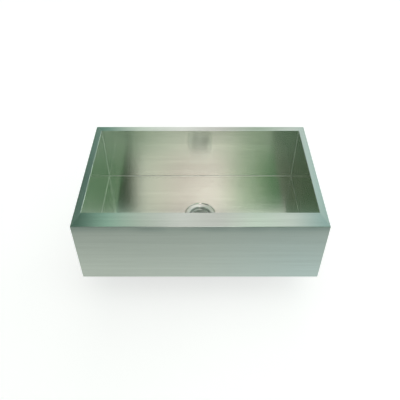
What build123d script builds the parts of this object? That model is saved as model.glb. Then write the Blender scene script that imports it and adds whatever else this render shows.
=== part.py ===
from build123d import *
from math import cos, hypot, radians, sin
import os

# An apron-front kitchen sink of folded, welded and brushed stainless sheet, with its basket strainer.
# Millimetres. +X is to the right of a person at the sink, +Y runs from the apron to the wall, +Z is up.
# The origin is on the drain's axis, in the plane of the rim's top face.

# Bowl, rim and apron
bowl_width = 792.0  # clear opening from left to right
bowl_length = 466.0  # clear opening from front to back
bowl_depth = 237.0  # from the rim's top face to the floor
side_rim = 23.0
back_rim = 27.0
front_deck = 65.0
apron_height = 260.0
apron_lip = 25.0  # the fold that runs in under the apron
sheet = 1.5
fold_inside = 0.5  # inside radius of the folds of rim, apron and cheeks
bowl_fold_inside = 2.0  # inside radius of the folds between floor and walls
opening_edge = 0.9  # rounding where the rim turns down into the bowl
rim_corner = 2.0  # rounding of the two back corners of the rim

# Sound-deadening pads, glued on the dry side
pad_thickness = 3.0
pad_corner = 12.0
wall_pad_margin = 60.0  # bare metal left at each end of a wall pad
wall_pad_top = 45.0  # bare metal between the rim and a wall pad
wall_pad_bottom = 55.0  # bare metal between a wall pad and the floor
floor_pad_margin = 50.0  # bare metal between a floor pad and the bowl's edges
drain_pad_gap = 30.0  # bare metal between the drain's recess and a floor pad

# Hole and pressed recess for the drain
drain_hole = 89.0
recess_diameter = 118.0  # flat bottom of the recess
recess_depth = 2.5
recess_slope = 2.5  # how far its sloped edge runs outwards

# Strainer body
flange_diameter = 114.0
flange_rounding = 0.7
throat_rounding = 3.0  # where the flange turns down into the cup
strainer_wall = 1.2
strainer_bore = 82.0
strainer_depth = 44.0  # from the flange's top to the seat for the stopper
stub_diameter = 47.8
stub_bore = 39.0
stub_length = 20.0
bar_drop = 6.0  # from the seat down to the cross bar
bar_thickness = 2.0
bar_width = 3.5
bar_count = 4  # arms of the cross bar
hub_diameter = 15.0

# Rings and nuts under the floor
gasket_diameter = 108.0
gasket_thickness = 3.0
friction_diameter = 105.0
friction_thickness = 0.8
locknut_diameter = 101.0
locknut_height = 11.0
locknut_lug = 4.5  # how far a lug stands out
locknut_lug_width = 9.0
locknut_lugs = 6
thread_clearance = 0.2

# Outlet
tailpiece_diameter = 38.1
tailpiece_wall = 1.2
tailpiece_length = 102.0
tailpiece_flange = 46.4
tailpiece_collar = 38.9  # thicker root of the tube, inside the slip nut's lip
collar_below_nut = 1.5
washer_thickness = 2.0
slip_nut_flats = 56.0
slip_nut_grip = 14.0  # how far the slip nut reaches up the stub
slip_nut_lip = 2.0
tube_clearance = 0.35

# Basket
post_diameter = 5.2
upper_post_diameter = 6.0
bearing_diameter = 10.0
bearing_clearance = 0.06
float_clearance = 0.3  # end play of the cup, and gap of the closed stopper above its seat
stopper_diameter = 50.0
stopper_thickness = 5.5
stopper_nose_top = 34.0
stopper_nose_tip = 26.0
stopper_nose_length = 4.0
basket_wall = 0.8
basket_bottom_diameter = 59.0
basket_top_diameter = 72.0
basket_rim_diameter = 78.0
basket_height = 26.0
wall_hole = 3.4
wall_holes = 20
wall_hole_rows = 3
wall_hole_spacing = 6.2
floor_hole = 4.0
floor_hole_rings = ((27.0, 9), (43.0, 15))  # pitch circle and number of holes
basket_nut_diameter = 16.0
basket_nut_height = 4.0
knob_diameter = 20.0
knob_height = 11.0
knob_neck_diameter = 9.0
knob_neck_height = 4.0
knob_below_floor = 4.0  # from the floor down to the knob's crown
knob_socket = 6.0  # how far the post runs up into the knob
sleeve_wall = 1.1
sleeve_slot = 1.2
post_end = 4.0  # how far the post runs on below the hub
snug = 0.05  # gap between pieces that are pushed together

# Places that follow from the sizes
half_width = bowl_width / 2
half_length = bowl_length / 2
rim_half_width = half_width + side_rim
apron_front = -half_length - front_deck
rim_back = half_length + back_rim
floor_top = -bowl_depth
floor_under = floor_top - sheet
apron_bottom = -apron_height
recess_top = floor_top - recess_depth
recess_under = recess_top - sheet
recess_radius = recess_diameter / 2
# The dry side of the recess's slope lies this much further out than its wet side
recess_shift = sheet * (hypot(recess_slope, recess_depth) - recess_slope) / recess_depth
recess_outer = recess_radius + recess_slope + recess_shift
flange_top = floor_top
flange_under = flange_top - strainer_wall
seat = flange_top - strainer_depth
cup_radius = strainer_bore / 2 + strainer_wall
cup_under = seat - strainer_wall
stub_bottom = cup_under - stub_length
tailpiece_top = stub_bottom - washer_thickness
tailpiece_flange_low = tailpiece_top - tailpiece_wall
slip_nut_bottom = tailpiece_flange_low - slip_nut_lip
bar_top = seat - bar_drop
hub_under = bar_top - bar_thickness
stopper_under = seat + float_clearance
stopper_top = stopper_under + stopper_thickness
basket_bottom = stopper_top + float_clearance
bearing_top = basket_bottom + basket_wall + float_clearance
knob_top = floor_top - knob_below_floor
knob_bottom = knob_top - knob_height

BOTTOM = (Align.CENTER, Align.CENTER, Align.MIN)


def block(x_low, x_high, y_low, y_high, z_low, z_high):
    """A box between two corners."""
    size = (x_high - x_low, y_high - y_low, z_high - z_low)
    return Pos(x_low, y_low, z_low) * Box(*size, align=(Align.MIN, Align.MIN, Align.MIN))


def disc(diameter, z_low, z_high):
    """A round bar on the drain's axis."""
    return Pos(0, 0, z_low) * Cylinder(diameter / 2, z_high - z_low, align=BOTTOM)


def ring(outside, inside, z_low, z_high):
    """A flat ring on the drain's axis, from its two diameters."""
    return disc(outside, z_low, z_high) - disc(inside, z_low, z_high)


def turned(*corners):
    """A solid turned about the drain's axis from (radius, height) corners."""
    outline = Polyline([(radius, 0, height) for radius, height in corners], close=True)
    return revolve(make_face(outline), Axis.Z)


def edges_at(solid, **place):
    """The solid's edges whose middle lies at the coordinates given, such as Y=0, Z=5."""
    def there(edge):
        middle = edge.center()
        return all(abs(getattr(middle, axis) - value) < 0.01 for axis, value in place.items())
    return [edge for edge in solid.edges() if there(edge)]


def circles_at(solid, diameter, height):
    """The solid's round edges of one diameter at one height."""
    def there(edge):
        return (
            edge.geom_type == GeomType.CIRCLE
            and abs(edge.radius - diameter / 2) < 0.01
            and abs(edge.arc_center.Z - height) < 0.01
        )
    return [edge for edge in solid.edges() if there(edge)]


def polar(radius, index, count, turn=0.0):
    """The place of one of several points spread evenly round the drain's axis."""
    angle = radians(360 * index / count + turn)
    return radius * cos(angle), radius * sin(angle)


def rim_apron():
    """Rim and apron: one flat frame round the bowl, folded down at the front and in at the bottom."""
    frame = block(-rim_half_width, rim_half_width, apron_front, rim_back, -sheet, 0)
    frame -= block(-half_width, half_width, -half_length, half_length, -sheet, 0)
    face = block(-rim_half_width, rim_half_width, apron_front, apron_front + sheet, apron_bottom, 0)
    lip = block(
        -rim_half_width, rim_half_width,
        apron_front, apron_front + apron_lip,
        apron_bottom, apron_bottom + sheet,
    )
    panel = frame + face + lip
    outer_folds = edges_at(panel, Y=apron_front, Z=0) + edges_at(panel, Y=apron_front, Z=apron_bottom)
    panel = fillet(outer_folds, fold_inside + sheet)
    inner_folds = edges_at(panel, Y=apron_front + sheet, Z=-sheet)
    inner_folds += edges_at(panel, Y=apron_front + sheet, Z=apron_bottom + sheet)
    panel = fillet(inner_folds, fold_inside)
    back_corners = edges_at(panel, X=rim_half_width, Y=rim_back)
    back_corners += edges_at(panel, X=-rim_half_width, Y=rim_back)
    panel = fillet(back_corners, rim_corner)
    opening = edges_at(panel, X=half_width, Z=0) + edges_at(panel, X=-half_width, Z=0)
    opening += edges_at(panel, X=0, Y=half_length, Z=0) + edges_at(panel, X=0, Y=-half_length, Z=0)
    return fillet(opening, min(opening_edge, 0.8 * sheet))


def bowl_wrap():
    """Front wall, floor and back wall in one folded sheet, with the drain's recess pressed into it."""
    wrap = block(
        -half_width, half_width,
        -half_length - sheet, half_length + sheet,
        floor_under, -sheet,
    )
    wrap -= block(-half_width, half_width, -half_length, half_length, floor_top, 0)
    for side in (-1, 1):
        outside = edges_at(wrap, Y=side * (half_length + sheet), Z=floor_under)
        wrap = fillet(outside, bowl_fold_inside + sheet)
        inside = edges_at(wrap, Y=side * half_length, Z=floor_top)
        wrap = fillet(inside, bowl_fold_inside)
    wrap -= disc(2 * recess_outer, floor_under, floor_top)
    wrap += turned(
        (recess_outer, floor_top),
        (recess_radius + recess_slope, floor_top),
        (recess_radius, recess_top),
        (drain_hole / 2, recess_top),
        (drain_hole / 2, recess_under),
        (recess_radius + recess_shift, recess_under),
        (recess_outer, floor_under),
    )
    return wrap


def end_wall(side):
    """Flat end of the bowl, welded to the wrap and to the rim. side is -1 for left and 1 for right."""
    inner, outer = sorted((side * half_width, side * (half_width + sheet)))
    wall = block(inner, outer, -half_length - sheet, half_length + sheet, floor_under, -sheet)
    corners = edges_at(wall, Y=-half_length - sheet, Z=floor_under)
    corners += edges_at(wall, Y=half_length + sheet, Z=floor_under)
    return fillet(corners, bowl_fold_inside + sheet)


def cheek(side):
    """End of the hollow apron, folded in at the back to meet the bowl."""
    outer = side * rim_half_width
    skin = side * (rim_half_width - sheet)
    bowl = side * (half_width + sheet)
    bottom = apron_bottom + sheet
    back = -half_length
    plate = block(*sorted((outer, skin)), apron_front + sheet, back, bottom, -sheet)
    plate += block(*sorted((outer, bowl)), back - sheet, back, bottom, -sheet)
    plate = fillet(edges_at(plate, X=outer, Y=back), fold_inside + sheet)
    inner_fold = edges_at(plate, X=skin, Y=back - sheet)
    front_corners = edges_at(plate, Y=apron_front + sheet, Z=-sheet)
    front_corners += edges_at(plate, Y=apron_front + sheet, Z=bottom)
    return fillet(inner_fold + front_corners, fold_inside)


def pad(x_low, x_high, y_low, y_high, z_low, z_high, axis):
    """A rubber pad whose four corners across the given axis are rounded."""
    slab = block(x_low, x_high, y_low, y_high, z_low, z_high)
    return fillet(slab.edges().filter_by(axis), pad_corner)


def floor_pad(side):
    """Pad under the floor, on one side of the drain."""
    near = recess_outer + drain_pad_gap
    far = half_width - floor_pad_margin
    reach = half_length - floor_pad_margin
    low, high = sorted((side * near, side * far))
    return pad(low, high, -reach, reach, floor_under - pad_thickness, floor_under, Axis.Z)


def wall_pad_heights():
    """Lowest and highest level of every pad on a wall."""
    return floor_top + wall_pad_bottom, -wall_pad_top


def end_wall_pad(side):
    """Pad on the outside of one end wall."""
    reach = half_length - wall_pad_margin
    surface = side * (half_width + sheet)
    low, high = sorted((surface, surface + side * pad_thickness))
    return pad(low, high, -reach, reach, *wall_pad_heights(), Axis.X)


def long_wall_pad(y_low):
    """Pad along a wall that runs from left to right, from the y of its nearer face."""
    reach = half_width - wall_pad_margin
    return pad(-reach, reach, y_low, y_low + pad_thickness, *wall_pad_heights(), Axis.Y)


def strainer_body():
    """Flange, cup and seat of the strainer, stamped in one piece."""
    flange_radius = flange_diameter / 2
    bore_radius = strainer_bore / 2
    body = turned(
        (flange_radius, flange_top),
        (bore_radius, flange_top),
        (bore_radius, seat),
        (stub_bore / 2, seat),
        (stub_bore / 2, cup_under),
        (cup_radius, cup_under),
        (cup_radius, flange_under),
        (flange_radius, flange_under),
    )
    body = fillet(circles_at(body, strainer_bore, flange_top), throat_rounding)
    body = fillet(circles_at(body, 2 * cup_radius, flange_under), throat_rounding - strainer_wall)
    body = fillet(circles_at(body, flange_diameter, flange_top), min(flange_rounding, 0.8 * strainer_wall))
    body = fillet(circles_at(body, 2 * cup_radius, cup_under), 2 * strainer_wall)
    return fillet(circles_at(body, strainer_bore, seat), strainer_wall)


def outlet_stub():
    """Short threaded tube, brazed under the hole in the strainer's bottom."""
    return ring(stub_diameter, stub_bore, stub_bottom, cup_under)


def cross_bar():
    """Hub on thin arms across the outlet stub, which takes the basket's post."""
    bars = disc(hub_diameter, hub_under, bar_top)
    for index in range(bar_count):
        bar = block(0, stub_bore / 2, -bar_width / 2, bar_width / 2, hub_under, bar_top)
        bars += Rot(0, 0, 360 * index / bar_count) * bar
    bars &= disc(stub_bore - 2 * snug, hub_under, bar_top)
    hub_hole = post_diameter + 2 * (snug + sleeve_wall + float_clearance)
    return bars - disc(hub_hole, hub_under, bar_top)


def flange_seal():
    """Sealing ring that fills the recess under the flange."""
    inside = drain_hole + 2 * (throat_rounding - strainer_wall)
    return ring(flange_diameter - 2 * flange_rounding, inside, recess_top, flange_under)


def rubber_gasket():
    """Rubber ring under the floor."""
    inside = 2 * (cup_radius + thread_clearance)
    return ring(gasket_diameter, inside, recess_under - gasket_thickness, recess_under)


def friction_washer():
    """Fibre ring on which the nut turns."""
    top = recess_under - gasket_thickness
    inside = 2 * (cup_radius + thread_clearance)
    return ring(friction_diameter, inside, top - friction_thickness, top)


def locknut():
    """Ring nut that pulls the strainer down, with lugs for a spanner."""
    top = recess_under - gasket_thickness - friction_thickness
    bottom = top - locknut_height
    nut = disc(locknut_diameter, bottom, top)
    reach = locknut_diameter / 2 + locknut_lug
    for index in range(locknut_lugs):
        lug = block(0, reach, -locknut_lug_width / 2, locknut_lug_width / 2, bottom, top)
        nut += Rot(0, 0, 360 * index / locknut_lugs) * lug
    return nut - disc(2 * (cup_radius + thread_clearance), bottom, top)


def tailpiece_washer():
    """Soft ring between the stub and the tailpiece."""
    return ring(tailpiece_flange, stub_bore, tailpiece_top, stub_bottom)


def tailpiece():
    """Outlet tube, hung by its flange in the slip nut."""
    bottom = tailpiece_top - tailpiece_length
    tube = disc(tailpiece_diameter, bottom, tailpiece_top)
    tube += disc(tailpiece_collar, slip_nut_bottom - collar_below_nut, tailpiece_top)
    tube += disc(tailpiece_flange, tailpiece_flange_low, tailpiece_top)
    return tube - disc(tailpiece_diameter - 2 * tailpiece_wall, bottom, tailpiece_top)


def coupling_nut():
    """Six-sided slip nut that holds the tailpiece to the stub."""
    top = stub_bottom + slip_nut_grip
    across_corners = slip_nut_flats / cos(radians(30))
    hexagon = Pos(0, 0, slip_nut_bottom) * RegularPolygon(across_corners / 2, 6)
    nut = extrude(hexagon, top - slip_nut_bottom)
    nut &= fillet(disc(across_corners, slip_nut_bottom, top).edges(), slip_nut_lip)
    nut -= disc(stub_diameter + 2 * thread_clearance, tailpiece_flange_low, top)
    return nut - disc(tailpiece_collar + 2 * tube_clearance, slip_nut_bottom, tailpiece_flange_low)


def basket_stopper():
    """Rubber plug under the basket, with a nose that enters the outlet."""
    plug = turned(
        (0, stopper_top),
        (stopper_diameter / 2, stopper_top),
        (stopper_diameter / 2, stopper_under),
        (stopper_nose_top / 2, stopper_under),
        (stopper_nose_tip / 2, stopper_under - stopper_nose_length),
        (0, stopper_under - stopper_nose_length),
    )
    plug = fillet(circles_at(plug, stopper_diameter, stopper_top), stopper_thickness / 4)
    bore = post_diameter + 2 * snug
    return plug - disc(bore, stopper_under - stopper_nose_length, stopper_top)


def basket_post():
    """Stem of the basket: thin below, with the bearing for the cup, and thicker up to the knob."""
    return (
        disc(post_diameter, hub_under - post_end, stopper_top)
        + disc(bearing_diameter, stopper_top, bearing_top)
        + disc(upper_post_diameter, bearing_top, knob_bottom + knob_socket)
    )


def basket_nut():
    """Round nut on the upper post, which keeps the cup on its bearing."""
    top = bearing_top + basket_nut_height
    nut = ring(basket_nut_diameter, upper_post_diameter + 2 * snug, bearing_top, top)
    return fillet(circles_at(nut, basket_nut_diameter, top), basket_nut_height / 4)


def basket_knob():
    """Knob that the fingers lift, with a hollow under its crown for the grip."""
    neck_top = knob_bottom + knob_neck_height
    knob = turned(
        (0, knob_bottom),
        (knob_neck_diameter / 2, knob_bottom),
        (knob_neck_diameter / 2, neck_top),
        (knob_diameter / 2, neck_top + (knob_top - neck_top) / 3),
        (knob_diameter / 2, knob_top),
        (0, knob_top),
    )
    knob = fillet(circles_at(knob, knob_diameter, knob_top), (knob_top - neck_top) / 3)
    return knob - disc(upper_post_diameter + 2 * snug, knob_bottom, knob_bottom + knob_socket + snug)


def spring_sleeve():
    """Split sleeve on the lower post, up to the plug's nose, which grips the hub of the cross bar."""
    low = hub_under - post_end
    high = stopper_under - stopper_nose_length
    outside = post_diameter + 2 * (snug + sleeve_wall)
    sleeve = ring(outside, post_diameter + 2 * snug, low, high)
    slot = block(0, outside, -sleeve_slot / 2, sleeve_slot / 2, low, high)
    return sleeve - slot


def basket_cup():
    """Perforated cup with a flat rim, which turns on the post's bearing."""
    floor_radius = basket_bottom_diameter / 2
    top_radius = basket_top_diameter / 2
    rim_top = basket_bottom + basket_height
    cup = turned(
        (0, basket_bottom),
        (floor_radius, basket_bottom),
        (top_radius, rim_top - basket_wall),
        (basket_rim_diameter / 2, rim_top - basket_wall),
        (basket_rim_diameter / 2, rim_top),
        (top_radius - basket_wall, rim_top),
        (floor_radius - basket_wall, basket_bottom + basket_wall),
        (0, basket_bottom + basket_wall),
    )
    holes = disc(bearing_diameter + 2 * bearing_clearance, basket_bottom, basket_bottom + basket_wall)
    for pitch_circle, count in floor_hole_rings:
        for index in range(count):
            place = Pos(*polar(pitch_circle / 2, index, count), 0)
            holes += place * disc(floor_hole, basket_bottom, basket_bottom + basket_wall)
    middle = basket_bottom + basket_height / 2
    for row in range(wall_hole_rows):
        height = middle + (row - (wall_hole_rows - 1) / 2) * wall_hole_spacing
        for index in range(wall_holes):
            turn = 360 * (index + row / 2) / wall_holes
            drill = Cylinder(wall_hole / 2, top_radius, align=BOTTOM)
            holes += Pos(0, 0, height) * Rot(0, 0, turn) * Rot(0, 90, 0) * Pos(0, 0, floor_radius / 2) * drill
    return cup - holes


nodes = {
    "rim_apron": rim_apron(),
    "bowl_wrap": bowl_wrap(),
    "left_end_wall": end_wall(-1),
    "right_end_wall": end_wall(1),
    "left_cheek": cheek(-1),
    "right_cheek": cheek(1),
    "floor_pad_left": floor_pad(-1),
    "floor_pad_right": floor_pad(1),
    "left_wall_pad": end_wall_pad(-1),
    "right_wall_pad": end_wall_pad(1),
    "back_wall_pad": long_wall_pad(half_length + sheet),
    "front_wall_pad": long_wall_pad(-half_length - sheet - pad_thickness),
    "apron_pad": long_wall_pad(apron_front + sheet),
    "strainer_body": strainer_body(),
    "outlet_stub": outlet_stub(),
    "cross_bar": cross_bar(),
    "flange_seal": flange_seal(),
    "rubber_gasket": rubber_gasket(),
    "friction_washer": friction_washer(),
    "locknut": locknut(),
    "tailpiece_washer": tailpiece_washer(),
    "tailpiece": tailpiece(),
    "coupling_nut": coupling_nut(),
    "basket_stopper": basket_stopper(),
    "basket_post": basket_post(),
    "basket_nut": basket_nut(),
    "basket_knob": basket_knob(),
    "spring_sleeve": spring_sleeve(),
    "basket_cup": basket_cup(),
}

os.makedirs("parts", exist_ok=True)
for name, solid in nodes.items():
    export_step(solid, f"parts/{name}.step")
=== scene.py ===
# %% [markdown]
# # An apron-front kitchen sink of brushed stainless steel
# The sheet-metal body, the strainer and the basket come from a measured model that is loaded first
# and never moved. This lesson gives every piece its finish, models the pieces whose real shape needs
# more than turned and folded solids, and sets up the light and the camera.

# %% Load the measured model
import math

import bpy
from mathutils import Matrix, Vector


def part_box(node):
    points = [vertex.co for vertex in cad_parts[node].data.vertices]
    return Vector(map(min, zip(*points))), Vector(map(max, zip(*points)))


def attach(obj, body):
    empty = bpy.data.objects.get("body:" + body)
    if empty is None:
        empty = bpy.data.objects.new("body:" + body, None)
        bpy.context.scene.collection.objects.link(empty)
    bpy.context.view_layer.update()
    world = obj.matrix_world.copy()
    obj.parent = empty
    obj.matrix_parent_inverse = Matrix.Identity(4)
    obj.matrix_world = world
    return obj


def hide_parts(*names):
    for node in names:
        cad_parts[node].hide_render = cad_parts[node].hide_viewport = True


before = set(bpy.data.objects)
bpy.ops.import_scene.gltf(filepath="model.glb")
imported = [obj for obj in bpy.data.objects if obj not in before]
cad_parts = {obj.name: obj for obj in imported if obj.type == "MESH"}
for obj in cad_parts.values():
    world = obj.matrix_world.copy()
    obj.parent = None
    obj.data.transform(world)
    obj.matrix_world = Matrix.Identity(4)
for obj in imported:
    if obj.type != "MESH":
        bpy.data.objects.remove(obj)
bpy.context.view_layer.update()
scene = bpy.context.scene
scene.view_settings.view_transform = "Standard"

# %% [markdown]
# ## Places that the rest of the lesson needs
# Every size is read from the loaded pieces, so that nothing has to be fitted by eye. The origin is on
# the drain's axis in the plane of the rim, X runs to the right, Y runs to the wall and Z runs up.

# %% Read the sink's own sizes
PANEL_LOW, PANEL_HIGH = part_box("rim_apron")
BOWL_LOW, BOWL_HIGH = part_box("bowl_wrap")
LEFT_LOW, LEFT_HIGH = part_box("left_end_wall")
SHEET = LEFT_HIGH.x - LEFT_LOW.x
BOWL_X = BOWL_HIGH.x
BOWL_Y = BOWL_HIGH.y - SHEET
FLOOR_Z = LEFT_LOW.z + SHEET
BOWL_FOLD = 0.002
OUTLET_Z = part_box("tailpiece")[0].z
print("bowl", round(2 * BOWL_X, 3), "by", round(2 * BOWL_Y, 3), "m, floor at", round(FLOOR_Z, 4))

# %% [markdown]
# ## The camera
# The photograph looks down into the bowl from the front. Its converging lines give the angle: about
# 43 degrees below the horizon, from a little over a metre in front of the apron and above the rim.

# %% Set the camera
CAMERA_AHEAD = 1.0537
CAMERA_ABOVE = 1.1127
CAMERA_PITCH = math.radians(43.33)

camera_data = bpy.data.cameras.new("camera")
camera_data.lens = 42.9
camera_data.sensor_width = 36.0
camera = bpy.data.objects.new("camera", camera_data)
camera.location = (-0.001, PANEL_LOW.y - CAMERA_AHEAD, CAMERA_ABOVE)
camera.rotation_euler = (math.pi / 2 - CAMERA_PITCH, 0.0, 0.0)
scene.collection.objects.link(camera)
scene.camera = camera
print("camera", tuple(round(v, 3) for v in camera.location))

# %% [markdown]
# ## Small helpers for shader nodes
# A material is a little network of nodes. Written out in full, each node takes five lines, so these
# helpers add one node, or one sum, in a single line and return the socket that comes out of it.

# %% Helpers for nodes and sums
def fill(tree, node, inputs):
    """Fill a node's inputs. A key is a socket's name with _ for a blank, or i0, i1 for its number."""
    for name, value in inputs.items():
        key = int(name[1:]) if name[1:].isdigit() else name.replace("_", " ")
        if isinstance(value, bpy.types.NodeSocket):
            tree.links.new(value, node.inputs[key])
        else:
            node.inputs[key].default_value = value
    return node


def add_node(tree, kind, settings=None, **inputs):
    """Add a node, set its properties and fill its inputs with values or links."""
    node = tree.nodes.new("ShaderNode" + kind)
    for name, value in (settings or {}).items():
        setattr(node, name, value)
    return fill(tree, node, inputs)


def math_of(tree, operation, first, second=0.0):
    """One step of arithmetic between two numbers or sockets."""
    return add_node(tree, "Math", {"operation": operation}, i0=first, i1=second).outputs[0]


def plus(tree, first, second):
    """The sum of two numbers or sockets."""
    return math_of(tree, "ADD", first, second)


def minus(tree, first, second):
    """The first of two numbers or sockets less the second."""
    return math_of(tree, "SUBTRACT", first, second)


def times(tree, first, *factors):
    """The product of numbers or sockets."""
    for factor in factors:
        first = math_of(tree, "MULTIPLY", first, factor)
    return first


def vector_of(tree, operation, first, second=(0.0, 0.0, 0.0), out="Vector"):
    """One step of arithmetic between two vectors or sockets. A length comes out as the Value."""
    return add_node(tree, "VectorMath", {"operation": operation}, i0=first, i1=second).outputs[out]


def scaled(tree, vector, factor):
    """A vector made longer or shorter by a plain factor."""
    node = add_node(tree, "VectorMath", {"operation": "SCALE"}, i0=vector, Scale=factor)
    return node.outputs["Vector"]


def split(tree, vector):
    """The X, Y and Z parts of a vector, by their letter."""
    return add_node(tree, "SeparateXYZ", None, i0=vector).outputs


def combine(tree, x, y, z=0.0):
    """A vector from its parts."""
    return add_node(tree, "CombineXYZ", None, i0=x, i1=y, i2=z).outputs[0]


def spread(tree, value, low, high, out_low=0.0, out_high=1.0):
    """Stretch the range low to high onto another range, and hold it at the ends."""
    return add_node(
        tree, "MapRange", None,
        Value=value, From_Min=low, From_Max=high, To_Min=out_low, To_Max=out_high,
    ).outputs[0]


print("helpers for nodes and sums ready")

# %% [markdown]
# ## Helpers for patterns and colours
# Noise and soft round cells are the two patterns that all the finishes are made of. A ramp turns a
# pattern into colours, and a mix lays one colour over another by a mask.

# %% Helpers for patterns and colours
def noise_of(tree, place, scale, detail=2.0, roughness=0.5):
    """Soft noise from 0 to 1 at a number of blobs per metre."""
    return add_node(
        tree, "TexNoise", None, Vector=place, Scale=scale, Detail=detail, Roughness=roughness,
    ).outputs[0]


def cells_of(tree, place, scale):
    """Distance from the middles of soft round cells, at a number of cells per metre."""
    return add_node(
        tree, "TexVoronoi", {"feature": "SMOOTH_F1"}, Vector=place, Scale=scale,
    ).outputs["Distance"]


def mix_of(tree, factor, first, second):
    """Blend two colours."""
    colors = {"data_type": "RGBA"}
    return add_node(tree, "Mix", colors, Factor=factor, i6=first, i7=second).outputs[2]


def blend(tree, factor, first, second):
    """Blend two numbers."""
    return add_node(tree, "Mix", None, Factor=factor, i2=first, i3=second).outputs[0]


def ramp(tree, factor, stops):
    """A colour ramp from (position, colour) stops."""
    node = add_node(tree, "ValToRGB", None, Fac=factor)
    elements = node.color_ramp.elements
    while len(elements) > 1:
        elements.remove(elements[-1])
    for index, (position, color) in enumerate(stops):
        element = elements[0] if index == 0 else elements.new(position)
        element.position = position
        element.color = (*color, 1.0)
    return node.outputs["Color"]


def shaded(color, factor):
    """A colour made darker or lighter by a factor."""
    return tuple(factor * channel for channel in color)


print("helpers for patterns and colours ready")

# %% [markdown]
# ## Helpers for groups and materials
# A shader group is a network with its own inputs and outputs, so that several materials can share it.
# Every group here takes the place on the piece as its first input, which PLACE describes.

# %% Helpers for groups and materials
SOCKETS = {"value": "NodeSocketFloat", "vector": "NodeSocketVector"}
PLACE = ("Vector", "vector", (0.0, 0.0, 0.0))


def new_group(name, inputs, outputs):
    """An empty shader group. Each input is a (name, kind, default), each output only a name."""
    tree = bpy.data.node_groups.new(name, "ShaderNodeTree")
    for label, kind, default in inputs:
        socket = tree.interface.new_socket(label, in_out="INPUT", socket_type=SOCKETS[kind])
        socket.default_value = default
    for label in outputs:
        tree.interface.new_socket(label, in_out="OUTPUT", socket_type=SOCKETS["value"])
    return tree, tree.nodes.new("NodeGroupInput").outputs, tree.nodes.new("NodeGroupOutput")


def finish_group(tree, result, values):
    """Put a group's values out by their names, and say how large the group is."""
    fill(tree, result, values)
    print("group", tree.name, "with", len(tree.nodes), "nodes")
    return tree


def place_group(tree, group, **inputs):
    """Place a shader group in a material, with its own values."""
    node = tree.nodes.new("ShaderNodeGroup")
    node.node_tree = group
    return fill(tree, node, inputs).outputs


def new_material(name, metallic=0.0):
    """An empty material: its tree, its main shader and its Object coordinates."""
    print("material", name)
    material = bpy.data.materials.new(name)
    material.use_nodes = True
    tree = material.node_tree
    shader = tree.nodes["Principled BSDF"]
    shader.inputs["Metallic"].default_value = metallic
    return material, tree, shader, add_node(tree, "TexCoord").outputs["Object"]


def bump(tree, shader, height):
    """Give the shader a relief whose height is in metres."""
    relief = add_node(tree, "Bump", None, Height=height, Distance=1.0, Strength=1.0)
    fill(tree, shader, {"Normal": relief.outputs["Normal"]})


print("helpers for groups and materials ready")

# %% [markdown]
# ## Effect: brushed grain
# Stainless sheet is brushed by an abrasive belt, which leaves fine parallel scratches, a few tenths
# of a millimetre apart and hundreds of times longer. An image could show them, but noise whose
# coordinates are squeezed along the belt gives the same streaks at every scale without a seam.
# Three sizes are put out: single scratches, bundles that the eye sees, and the broad bands that a
# photograph shows from a step away.

# %% Build the brushed grain group
def brushed_grain_group():
    """Streaks along one axis. Along is that axis, as a vector of zeros and a one."""
    tree, given, result = new_group(
        "brushed grain",
        [PLACE, ("Along", "vector", (1.0, 0.0, 0.0))],
        ["Scratches", "Bundles", "Bands"],
    )
    across = vector_of(tree, "SUBTRACT", (1.0, 1.0, 1.0), given["Along"])

    def streaks(per_metre, drawn_out, detail):
        along = scaled(tree, given["Along"], per_metre / drawn_out)
        both = vector_of(tree, "ADD", along, scaled(tree, across, per_metre))
        place = vector_of(tree, "MULTIPLY", given["Vector"], both)
        return noise_of(tree, place, 1.0, detail)

    return finish_group(tree, result, {
        "Scratches": streaks(per_metre=1500.0, drawn_out=90.0, detail=2.0),
        "Bundles": streaks(per_metre=380.0, drawn_out=90.0, detail=2.0),
        "Bands": streaks(per_metre=75.0, drawn_out=60.0, detail=3.0),
    })


GRAIN = brushed_grain_group()

# %% [markdown]
# ## Effect: the sheet's own waves
# Welded sheet is never quite flat. Waves a few hundredths of a millimetre high, as long as a hand,
# bend the reflections of the walls in each other, and that is what tells metal from a flat picture.

# %% Build the sheet waves group
def sheet_waves_group():
    """Height in metres of the slow waves of a thin welded sheet."""
    tree, given, result = new_group("sheet waves", [PLACE, ("Height", "value", 0.0001)], ["Height"])
    slow = noise_of(tree, given["Vector"], 7.0, 1.0)
    return finish_group(tree, result, {"Height": times(tree, slow, given["Height"])})


WAVES = sheet_waves_group()

# %% [markdown]
# ## Effect: smudges
# Handling leaves faint films on steel that change its gloss more than its colour. The group puts out
# a soft mask that each metal uses in its own strength.

# %% Build the smudges group
def smudges_group():
    """A soft mask of wiped patches, a hand's width across with finer cloudy edges."""
    tree, given, result = new_group("smudges", [PLACE], ["Mask"])
    wide = noise_of(tree, given["Vector"], 9.0, 4.0, 0.6)
    return finish_group(tree, result, {"Mask": spread(tree, wide, 0.42, 0.72)})


SMUDGES = smudges_group()

# %% [markdown]
# ## Effect: sprayed coat
# The dry side of such a sink is sprayed with a thick grey coat that deadens its ring and keeps
# moisture from condensing on it. The droplets dry as a fine stipple with a few larger blobs.

# %% Build the sprayed coat group
def sprayed_coat_group():
    """Stipple of a sprayed coat: its height in metres, and a slow cloud for uneven colour."""
    tree, given, result = new_group("sprayed coat", [PLACE], ["Height", "Cloud"])
    stipple = noise_of(tree, given["Vector"], 420.0, 3.0, 0.6)
    blobs = spread(tree, cells_of(tree, given["Vector"], 150.0), 0.45, 0.05)
    height = plus(tree, times(tree, stipple, 0.6), times(tree, blobs, 0.4))
    return finish_group(tree, result, {
        "Height": times(tree, height, 0.0004),
        "Cloud": noise_of(tree, given["Vector"], 14.0, 4.0, 0.6),
    })


COAT = sprayed_coat_group()

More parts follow.
